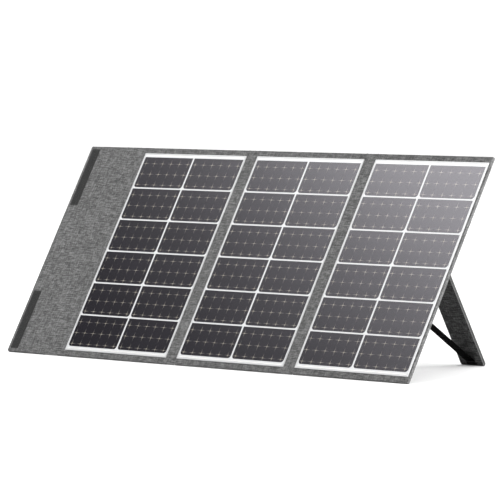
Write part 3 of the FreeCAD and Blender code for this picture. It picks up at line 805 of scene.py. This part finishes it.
def band(name, x0, x1, w0, w1, front, lap_low, lap_high, columns=28):
    """A strip of cloth from x0 to x1 on the front plane, with a rolled hem at both ends.

    It is thin where it laps onto a leaf."""
    top, lap_floor, floor = front + 0.14 * MM, front - 0.25 * MM, front - 1.15 * MM
    ws = stations(w0, w1, 7 * MM, HEM_INSETS)
    rows = len(ws) - 1
    points = []

    def bottom(x, inset):
        in_low = (x - x0) / max(lap_low, 1e-9)
        in_high = (x1 - x) / max(lap_high, 1e-9)
        share = min(1.0, max(0.0, min(in_low, in_high) - 0.8) / 0.5)
        hem = HEM_DEPTH * min(1.0, max(0.0, (HEM_L - inset) / (0.6 * MM)))
        return lap_floor + (floor - hem - lap_floor) * share

    index = {}
    for side in (1, -1):
        for i in range(columns + 1):
            x = x0 + (x1 - x0) * i / columns
            for j, w in enumerate(ws):
                ripple = noise.noise(Vector((x, w, 0.2)) / 0.012)
                inset = min(w - w0, w1 - w)
                low_f = bottom(x, inset)
                round_off = math.sqrt(1.0 - (1.0 - min(1.0, inset / HEM_ROUND + 0.02)) ** 2)
                f = (top + low_f) / 2 + side * (top - low_f) / 2 * round_off
                if side > 0:
                    f += 0.05 * MM * ripple
                index[side, i, j] = len(points)
                points.append(Vector((x, w, f)))
    faces = both_sides(index, columns, rows)
    for i in range(columns):
        for j, flip in ((0, False), (rows, True)):
            loop = (index[-1, i, j], index[-1, i + 1, j], index[1, i + 1, j], index[1, i, j])
            faces.append(loop[::-1] if flip else loop)
    for j in range(rows):
        for i, flip in ((0, True), (columns, False)):
            loop = (index[-1, i, j], index[-1, i, j + 1], index[1, i, j + 1], index[1, i, j])
            faces.append(loop[::-1] if flip else loop)
    return make_piece(name, points, faces, GREY)


def leaf_ends(body):
    """Where a fold's cloth starts and ends up the slope: it hangs a little below the leaf."""
    low, high = extent(body + "_skin")
    return low.y - FOLD_HANG, high.y - FOLD_DROP


def wide_fold(name, left, right):
    """A fold strip between two bodies: two halves of cloth, each lapping onto one of them."""
    strip_high = extent(name + "_strip")[1]
    left_edge = extent(left + "_skin")[1].x
    right_edge = extent(right + "_skin")[0].x
    w0, w1 = leaf_ends(left)
    middle = (left_edge + right_edge) / 2
    near = band(name + "_cloth_left", left_edge - FOLD_LAP, middle, w0, w1, strip_high.z,
                FOLD_LAP, 0.0)
    far = band(name + "_cloth_right", middle, right_edge + FOLD_LAP, w0, w1, strip_high.z,
               0.0, FOLD_LAP)
    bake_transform(near)
    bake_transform(far)
    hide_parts(name + "_strip")


def narrow_fold(name, left, right):
    """The inner fold: one cloth strip across the gap, lapping onto both leaves."""
    strip_high = extent(name + "_strip")[1]
    left_edge = extent(left + "_skin")[1].x
    right_edge = extent(right + "_skin")[0].x
    piece = band(name + "_cloth", left_edge - FOLD_LAP, right_edge + FOLD_LAP,
                 *leaf_ends(left), strip_high.z, FOLD_LAP, FOLD_LAP, 48)
    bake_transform(piece)
    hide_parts(name + "_strip")


def joint_place(name):
    return next(j["pos_m"] for j in frame["joints"] if j["name"] == name)


# ================================================================ stands and straps
STAND_CORNER_MM = 6.0         # radius of the stand's two lower corners
STAND_SEAM = 4.0 * MM         # its stitches to its edge
STAND_STITCH_SUNK = 0.30 * MM


def stand(body):
    """A stand's cloth cover, its stitches and the piping round both its faces. The piping is a real cord,
    but its light grey is a painted highlight of the stand's lit front edge.
    """
    low, high = extent(body + "_skin", STAND_TURN)
    piece = soft_slab(body + "_cover", low, high, BLACK, turn=STAND_TURN, edge=1.9 * MM,
                      corners=(STAND_CORNER_MM, STAND_CORNER_MM, 2.0, 2.0),
                      seam_sides="lrbt", seam_in=STAND_SEAM, step=6.0 * MM)
    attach(piece, body)
    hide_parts(body + "_skin")
    paint(body + "_board", BOARD)
    seam, sunk = STAND_SEAM, STAND_STITCH_SUNK
    x0, x1 = low.x + seam, high.x - seam
    w0, w1 = low.y + seam, high.y - seam
    round_off = STAND_CORNER_MM * MM - seam
    runs = []
    for f, up in ((high.z - sunk, 1), (low.z + sunk, -1)):
        u = (0, 0, up)
        runs += [((x0, w0 + round_off, f), (x0, w1, f), u), ((x1, w0 + round_off, f), (x1, w1, f), u),
                 ((x0, w1, f), (x1, w1, f), u),
                 ((x0 + round_off, w0, f), (x1 - round_off, w0, f), u)]
        for x, sign in ((x0, 1), (x1, -1)):
            arc = [(x + sign * round_off * (1 - math.cos(a)), w0 + round_off * (1 - math.sin(a)), f)
                   for a in (0.0, math.pi / 6, math.pi / 3, math.pi / 2)]
            runs += [(arc[i], arc[i + 1], u) for i in range(3)]
    stitching(body + "_stitching", runs, DARK_THREAD, body, STAND_TURN)
    # Piping round both faces, coloured light grey as a painted edge highlight
    for side, f in (("front", high.z), ("back", low.z)):
        path = rounded_frame(low.x + PIPING_IN, high.x - PIPING_IN, low.y + PIPING_IN,
                             high.y - PIPING_IN, STAND_CORNER_MM * MM - PIPING_IN, 1.0 * MM)
        cord = make_piece(f"{body}_piping_{side}",
                          *ring_tube([Vector((x, w, f)) for x, w in path], PIPING_R, PIPING_R), PIPING_PAINTED_HIGHLIGHT,
                          STAND_TURN)
        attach(cord, body)


PIPING_IN, PIPING_R = 1.35 * MM, 0.62 * MM


def rounded_frame(x0, x1, w0, w1, low_radius, high_radius):
    """Points round a rectangle with rounded corners, as (x, w) pairs."""
    corners = (((x1, w0), (-1, 1), -90, low_radius), ((x1, w1), (-1, -1), 0, high_radius),
               ((x0, w1), (1, -1), 90, high_radius), ((x0, w0), (1, 1), 180, low_radius))
    points = []
    for (x, w), (sx, sw), start, radius in corners:
        cx, cw = x + sx * radius, w + sw * radius
        for step in range(7):
            a = math.radians(start + 15 * step)
            points.append((cx + radius * math.cos(a), cw + radius * math.sin(a)))
    spread = []
    for k, (x, w) in enumerate(points):
        nx, nw = points[(k + 1) % len(points)]
        pieces = max(1, round(math.hypot(nx - x, nw - w) / (6 * MM)))
        spread += [(x + (nx - x) * i / pieces, w + (nw - w) * i / pieces) for i in range(pieces)]
    return spread


def ring_tube(path, wide, tall, sides=8):
    """Points and faces of a closed tube round a level path."""
    points, faces = [], []
    count = len(path)
    for k, p in enumerate(path):
        along = (path[(k + 1) % count] - path[k - 1]).normalized()
        out = along.cross(Vector((0, 0, 1)))
        for i in range(sides):
            a = math.tau * i / sides
            points.append(p + out * wide * math.cos(a) + Vector((0, 0, tall * math.sin(a))))
    for k in range(count):
        n = (k + 1) % count
        for i in range(sides):
            j = (i + 1) % sides
            faces.append((sides * k + i, sides * n + i, sides * n + j, sides * k + j))
    return points, faces


# ---------------------------------------------------------------- touch tape
TAPE_SEAM = 1.7 * MM


def touch_tape(node, body, material, thread, front, pegs):
    """A strip of hook or loop tape with a woven selvedge, its stitches and its pile."""
    low, high = extent(node)
    tape_insets = [0.0, 0.15, 0.35, 0.6, 1.0, 1.4, 1.7, 2.0, 2.5, 3.0, 3.6]
    base_low, base_high = low.copy(), high.copy()
    pile = 0.75 * MM
    if front:
        base_high.z -= pile
    else:
        base_low.z += pile
    piece = soft_slab(node + "_tape", base_low, base_high, material, edge=0.35 * MM,
                      corners=(0.8, 0.8, 0.8, 0.8), seam_sides="lrbt", seam_in=TAPE_SEAM, step=6.0 * MM,
                      soft=0.0, insets=tape_insets, groove=0.15 * MM)
    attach(piece, body)
    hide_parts(node)
    up = 1 if front else -1
    f = base_high.z if front else base_low.z
    runs = frame_runs(low.x + TAPE_SEAM, high.x - TAPE_SEAM, low.y + TAPE_SEAM,
                      high.y - TAPE_SEAM, f, up)
    stitching(node + "_stitching", runs, thread, body, pitch=3.0 * MM,
              length=2.2 * MM, radius=0.18 * MM)
    points, faces = [], []
    margin, pitch = 3.2 * MM, pegs * MM
    columns = int((high.x - low.x - 2 * margin) / pitch)
    rows = int((high.y - low.y - 2 * margin) / pitch)
    for i in range(columns + 1):
        for j in range(rows + 1):
            x = (low.x + high.x) / 2 + (i - columns / 2) * pitch
            w = (low.y + high.y) / 2 + (j - rows / 2) * pitch
            stray = noise.noise_vector(Vector((x, w, 0.0)) * 4000.0)
            x, w = x + stray.x * 0.18 * MM, w + stray.y * 0.18 * MM
            lean = Vector((stray.y, stray.z, 0)) * 0.25 * MM
            height = pile * (0.92 + 0.08 * stray.x)
            first = len(points)
            for at, wide in ((-0.1, 0.22 * MM), (0.55, 0.2 * MM), (1.0, 0.34 * MM)):
                centre = Vector((x, w, f + up * height * at)) + lean * at
                for k in range(4):
                    a = math.tau * k / 4 + 0.78
                    points.append(centre + Vector((math.cos(a), math.sin(a), 0)) * wide)
            for r in range(2):
                for k in range(4):
                    n = (k + 1) % 4
                    loop = (first + 4 * r + k, first + 4 * r + n,
                            first + 4 * r + 4 + n, first + 4 * r + 4 + k)
                    faces.append(loop if front else loop[::-1])
            cap = tuple(first + 8 + k for k in range(4))
            foot = tuple(first + k for k in reversed(range(4)))
            faces += [cap, foot] if front else [cap[::-1], foot[::-1]]
    field = make_piece(node + "_pile", points, faces, material)
    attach(field, body)


# ---------------------------------------------------------------- straps
def ribbon_points(stations_along, x0, x1, thick):
    """A flat strap through (w, f, normal) stations, with soft selvedges, as points and faces."""
    half = thick / 2
    columns = [0.0, 0.02, 0.06, 0.12, 0.25, 0.4, 0.6, 0.75, 0.88, 0.94, 0.98, 1.0]
    points, faces = [], []
    ring = 2 * len(columns) - 2
    for w, f, nw, nf in stations_along:
        upper, lower = [], []
        for share in columns:
            inset = min(share, 1 - share) * (x1 - x0)
            h = half * math.sqrt(max(0.0, 1 - max(0.0, 1 - inset / (0.9 * MM)) ** 2))
            x = x0 + (x1 - x0) * share
            upper.append(Vector((x, w + nw * h, f + nf * h)))
            lower.append(Vector((x, w - nw * h, f - nf * h)))
        points += upper + lower[-2:0:-1]
    rows = len(points) // ring
    for r in range(rows - 1):
        for k in range(ring):
            n = (k + 1) % ring
            faces.append((ring * r + k, ring * r + n, ring * (r + 1) + n, ring * (r + 1) + k))
    faces.append(tuple(reversed(range(ring))))
    faces.append(tuple(ring * (rows - 1) + k for k in range(ring)))
    return points, faces


STRAP_CUTS = (0.0, 0.05, 0.10, 0.16, 0.23, 0.32, 0.43, 0.55, 0.67, 0.77, 0.85, 0.92, 1.0)
STRAP_ROWS = 6                # rows of faces to a segment
STRAP_CLEAR = 1.8 * MM        # the shut strap lies about midway between the stand and the leaf
STRAP_T = 1.5 * MM
STRAP_END = 2.0 * MM          # points this near to an end of the CAD strap belong to that end
STAND_TRAVEL_DEG = 60.0


def strap(body):
    """The strap, in segments that share their ends.

    The cuts fall where the share of the stand's angle, seen from its hinge, reaches set levels. The
    segments are baked in place, tied to neither the leaf nor the stand."""
    node = body + "_strap"
    low, high = extent(node)
    back = LEAF_TURN.inverted()
    points = node_points(node)
    upper_end = [p for p in points if p.y > high.y - STRAP_END]
    lower_end = [p for p in points if p.y < low.y + STRAP_END]

    def middle_of(group):
        return Vector((0, sum(p.y for p in group) / len(group), sum(p.z for p in group) / len(group)))

    top, foot = middle_of(upper_end), middle_of(lower_end)
    line = foot - top
    along = line.normalized()
    normal = Vector((0, -along.z, along.y))
    hinge = back @ Vector(joint_place(body + "_fold"))
    hinge.x = 0

    def weight(p):
        """Share of the stand's angle at which p lies, seen from the hinge."""
        ray = p - hinge
        reach = math.hypot(ray.y, ray.z)
        angle = math.atan2(-ray.z, -ray.y) + math.asin(min(1.0, STRAP_CLEAR / reach))
        return min(1.0, max(0.0, math.degrees(angle) / STAND_TRAVEL_DEG))

    def share_at(target):
        """How far down the strap, 0 to 1, the weight reaches the target."""
        near, far = 0.0, 1.0
        for _ in range(50):
            middle = (near + far) / 2
            if weight(top + line * middle) < target:
                near = middle
            else:
                far = middle
        return (near + far) / 2

    levels = [smooth_step(t) for t in STRAP_CUTS]
    cuts = [0.0] + [share_at(level) for level in levels[1:-1]] + [1.0]
    for i, (t0, t1) in enumerate(zip(STRAP_CUTS, STRAP_CUTS[1:])):
        a, b = top + line * cuts[i], top + line * cuts[i + 1]
        rows = [a.lerp(b, r / STRAP_ROWS) for r in range(STRAP_ROWS + 1)]
        places = [(p.y, p.z, normal.y, normal.z) for p in rows]
        mesh_points, faces = ribbon_points(places, low.x, high.x, STRAP_T)
        piece = make_piece(f"{node}_{i + 1}", mesh_points, faces, WEBBING)
        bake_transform(piece)
        if i == 0:
            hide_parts(node)


# ================================================================ sewn patches and tabs
def thinned(distance, reach, floor):
    """1 inside, down to floor at an edge, over a rounded reach."""
    share = 1.0 - min(1.0, distance / reach)
    return floor + (1.0 - floor) * math.sqrt(max(0.0, 1.0 - share * share))


def patch(node, body, material, turn=LEAF_TURN, face=-1, thick=None, hem=False):
    """A cloth patch sewn flat onto a face (front 1, back -1), with a rolled lower hem or none."""
    low, high = extent(node, turn)
    base = high.z if face < 0 else low.z
    full = high.z - low.z
    thick = thick or full
    xs = stations(low.x, high.x, 4 * MM, [0.0, 0.15, 0.4, 0.8, 1.4, 2.2])
    ws = stations(low.y, high.y, 3 * MM, [0.0, 0.12, 0.3, 0.6, 1.0])
    points, faces, index = [], [], {}
    for side in (1, 0):
        for i, x in enumerate(xs):
            for j, w in enumerate(ws):
                below, above = w - low.y, high.y - w
                across = min(x - low.x, high.x - x)
                depth = thick
                if hem:
                    t = min(1.0, max(0.0, (below - 2.2 * MM) / (6.5 * MM)))
                    depth = full + (thick - full) * smooth_step(t)
                depth *= thinned(above, 0.8 * MM, 0.3) * thinned(across, 0.9 * MM, 0.3)
                depth *= thinned(below, depth * 0.5, 0.25)
                depth += 0.06 * MM * noise.noise(Vector((x, w, 0.7)) / 0.006) - 0.05 * MM
                index[side, i, j] = len(points)
                points.append(Vector((x, w, base + face * depth * side)))
    for side in (1, 0):
        for i in range(len(xs) - 1):
            for j in range(len(ws) - 1):
                loop = (index[side, i, j], index[side, i + 1, j],
                        index[side, i + 1, j + 1], index[side, i, j + 1])
                faces.append(loop if (face > 0) == (side > 0) else loop[::-1])
    border = [(i, 0) for i in range(len(xs))] + [(len(xs) - 1, j) for j in range(1, len(ws))]
    border += [(i, len(ws) - 1) for i in range(len(xs) - 2, -1, -1)]
    border += [(0, j) for j in range(len(ws) - 2, 0, -1)]
    for k, here in enumerate(border):
        after = border[(k + 1) % len(border)]
        loop = (index[(0, *here)], index[(0, *after)], index[(1, *after)], index[(1, *here)])
        faces.append(loop if face > 0 else loop[::-1])
    piece = make_piece(node + "_cloth", points, faces, material, turn)
    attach(piece, body)
    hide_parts(node)
    return low, high, base + face * (thick - 0.05 * MM)


def stand_patches(leaf, body):
    """Hinge patch, the strap's sewn end with its crossed box stitch, and the foot tab."""
    low, high, f = patch(body + "_hinge_patch", leaf, BLACK, thick=1.45 * MM, hem=True)
    edge = 2.6 * MM
    w0, w1 = low.y + 10.5 * MM, high.y - edge
    runs = frame_runs(low.x + edge, high.x - edge, w0, w1, f, -1)
    runs += frame_runs(low.x + edge, high.x - edge, w0 + 3 * MM, w1, f, -1, "b")
    stitching(body + "_hinge_stitching", runs, DARK_THREAD, leaf)
    low, high, f = patch(body + "_strap_patch", leaf, WEBBING)
    x0, x1, w0, w1 = low.x + edge, high.x - edge, low.y + edge, high.y - edge
    runs = frame_runs(x0, x1, w0, w1, f, -1)
    runs += [((x0, w0, f), (x1, w1, f), (0, 0, -1)), ((x1, w0, f), (x0, w1, f), (0, 0, -1))]
    stitching(body + "_strap_stitching", runs, DARK_THREAD, leaf, pitch=3.0 * MM,
              length=2.2 * MM)
    low, high, f = patch(body + "_strap_tab", body, WEBBING, STAND_TURN, face=1)
    x0, x1 = low.x + 1.6 * MM, high.x - 1.6 * MM
    runs = []
    for w in (low.y + 1.5 * MM, high.y - 1.5 * MM):
        runs.append(((x0, w, f), (x1, w, f), (0, 0, 1)))
    stitching(body + "_tab_stitching", runs, DARK_THREAD, body, STAND_TURN,
              pitch=2.6 * MM, length=1.9 * MM)


# ================================================================ output box
def soften(node, width, material, segments=2):
    """Gives a hard CAD node its material and small rounded edges."""
    paint(node, material)
    bevel = NODES[node].modifiers.new("edges", "BEVEL")
    bevel.width = width
    bevel.segments = segments
    bevel.limit_method = "ANGLE"
    bevel.angle_limit = math.radians(38.0)


def output_box():
    soften("output_box_base", 0.35 * MM, BOX_PLASTIC)
    soften("output_box_lid", 0.35 * MM, BOX_PLASTIC)
    soften("output_box_screws", 0.15 * MM, STEEL)
    soften("circuit_board", 0.15 * MM, CIRCUIT)
    soften("usb_sockets", 0.10 * MM, STEEL)
    soften("dc_socket", 0.25 * MM, SOCKET)
    soften("port_cover", 0.6 * MM, RUBBER, 3)


# ================================================================ cable pocket
FLANGE = 5.0 * MM
CLOTH_T = 1.1 * MM
ZIP_ZONE = 15.0 * MM      # cloth held flat above and below the zip's middle


def pocket():
    """A bag of cloth that sags below its zip, sewn on by a flange, with its zip tapes."""
    low, high = extent("pocket_bag")
    tape_low, tape_high = extent("zip_tape")
    zip_w = (tape_low.y + tape_high.y) / 2
    base, full = high.z, high.z - low.z
    xs = stations(low.x - FLANGE, high.x + FLANGE, 3.0 * MM, [0.0, 0.2, 0.6, 1.2, 2.4, 3.8, 4.8, 5.2])
    ws = stations(low.y - FLANGE, high.y + FLANGE, 3.0 * MM, [0.0, 0.2, 0.6, 1.2, 2.4, 3.8, 4.8, 5.2])

    def depth(x, w):
        """How far the cloth's outside stands off the flap."""
        inset_x, inset_w = min(x - low.x, high.x - x), min(w - low.y, high.y - w)
        away = abs(w - zip_w) - ZIP_ZONE
        calm = min(1.0, max(0.0, away / (22 * MM)))
        calm = smooth_step(calm)
        corner = 12 * MM
        inset = min(inset_x, inset_w)
        if inset_x < corner and inset_w < corner:
            inset = corner - math.hypot(corner - inset_x, corner - inset_w)
        hem = CLOTH_T * thinned(min(x - xs[0], xs[-1] - x, w - ws[0], ws[-1] - w), 0.8 * MM, 0.3)
        if inset <= 0:
            return hem
        reach = (6.5 + 6.5 * calm) * MM
        share = 1.0 - min(1.0, inset / reach)
        wall = (1.0 - share ** 2.4) ** (1 / 2.4)
        rise = (w - low.y) / (high.y - low.y)
        belly = 0.5 * (1 + math.cos(math.pi * min(1.0, abs(rise - 0.22) / 0.42)))
        hang = 1.0 - calm * (0.24 - 0.24 * belly)
        spot = Vector((x, w, 0.0))
        folds = noise.noise(Vector((x / 0.016 + w / 0.06, w / 0.075, 3.0)))
        pulls = noise.noise(Vector(((x - w * 0.8) / 0.022, (x + w) / 0.09, 9.0)))
        small = noise.noise(spot / 0.006)
        creases = (1.7 * abs(folds) + 1.1 * abs(pulls)) * calm + 0.12 * small
        settled = min(1.0, inset / (9 * MM))
        return max(hem, hem + (full * hang - hem) * wall - creases * MM * settled)

    points, faces, index = [], [], {}
    nx, nw = len(xs), len(ws)
    for layer in (0, 1):
        for i, x in enumerate(xs):
            for j, w in enumerate(ws):
                outside = depth(x, w)
                stand_off = outside if layer == 0 else max(0.04 * MM, outside - CLOTH_T)
                index[layer, i, j] = len(points)
                points.append(Vector((x, w, base - stand_off)))
    for layer in (0, 1):
        for i in range(nx - 1):
            for j in range(nw - 1):
                loop = (index[layer, i, j], index[layer, i, j + 1],
                        index[layer, i + 1, j + 1], index[layer, i + 1, j])
                faces.append(loop if layer == 0 else loop[::-1])
    border = [(i, 0) for i in range(nx)] + [(nx - 1, j) for j in range(1, nw)]
    border += [(i, nw - 1) for i in range(nx - 2, -1, -1)] + [(0, j) for j in range(nw - 2, 0, -1)]
    for k, here in enumerate(border):
        after = border[(k + 1) % len(border)]
        faces.append((index[(0, *here)], index[(0, *after)], index[(1, *after)], index[(1, *here)]))
    half = 3.2 * MM
    path = rounded_frame(xs[0] + half, xs[-1] - half, ws[0] + half, ws[-1] - half, 3 * MM, 3 * MM)
    path = [Vector((x, w, base - 0.5 * MM)) for x, w in path]
    binding = make_piece("pocket_binding", *ring_tube(path, half, 1.35 * MM, 16), BINDING)
    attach(binding, "flap")
    bag = make_piece("pocket_cloth", points, faces, GREY)
    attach(bag, "flap")
    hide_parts("pocket_bag")
    off, f = 4.6 * MM, base - 0.5 * MM - 1.15 * MM
    runs = frame_runs(xs[0] + off, xs[-1] - off, ws[0] + off, ws[-1] - off, f, -1)
    stitching("pocket_stitching", runs, DARK_THREAD, "flap", pitch=3.4 * MM,
              length=2.5 * MM)
    zip_tapes(tape_low, tape_high, zip_w)


def zip_tapes(low, high, zip_w):
    gap = extent_gap("zip_tape", zip_w)
    runs = []
    for number, (w0, w1) in enumerate(((low.y, zip_w - gap), (zip_w + gap, high.y))):
        tape_low, tape_high = Vector((low.x, w0, low.z)), Vector((high.x, w1, high.z))
        tape = soft_slab(f"zip_tape_{number + 1}", tape_low, tape_high, ZIP_TAPE, edge=0.25 * MM,
                         corners=(0.6, 0.6, 0.6, 0.6), step=4 * MM, soft=0.0,
                         insets=[0.0, 0.1, 0.3, 0.7, 1.5])
        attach(tape, "flap")
        if number == 0:
            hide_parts("zip_tape")
        w = w0 + 1.8 * MM if number == 0 else w1 - 1.8 * MM
        runs.append(((low.x + MM, w, low.z), (high.x - MM, w, low.z), (0, 0, -1)))
        w += 2.2 * MM if number == 0 else -2.2 * MM
        runs.append(((low.x + MM, w, low.z), (high.x - MM, w, low.z), (0, 0, -1)))
    for x in (low.x + 1.4 * MM, high.x - 1.4 * MM):
        runs.append(((x, low.y + 2 * MM, low.z), (x, high.y - 2 * MM, low.z), (0, 0, -1)))
    stitching("zip_stitching", runs, THREAD, "flap", pitch=3.0 * MM, length=2.2 * MM,
              radius=0.2 * MM)
    soften("zip_teeth", 0.2 * MM, TEETH)
    soften("zip_slider", 0.25 * MM, STEEL)
    soften("zip_pull", 0.25 * MM, STEEL)


def extent_gap(node, middle):
    """Half the gap that a node leaves open round a line up the slope."""
    return min(abs(p.y - middle) for p in node_points(node))


for body in LEAVES:
    cover(body)
    sheet(body)
cover("flap")
paint("flap_board", BOARD)
wide_fold("flap_fold", "flap", "leaf_1")
wide_fold("outer_fold", "leaf_1", "leaf_2")
narrow_fold("inner_fold", "leaf_2", "leaf_3")
for leaf, body in STANDS:
    stand(body)
    strap(body)
    stand_patches(leaf, body)
output_box()
pocket()
for end in ("top", "bottom"):
    touch_tape(f"hook_strip_{end}", "flap", HOOKS, DARK_THREAD, True, 1.6)
    touch_tape(f"loop_strip_{end}", "leaf_2", LOOPS, DARK_THREAD, False, 1.3)

# ================================================================ stage and end
make_camera()
make_world()
make_floor()
softbox("key", KEY_PLACE, KEY_SIZE, KEY_RADIANCE)
softbox("side", SIDE_PLACE, SIDE_SIZE, SIDE_RADIANCE)
bpy.context.scene.view_settings.view_transform = "Standard"
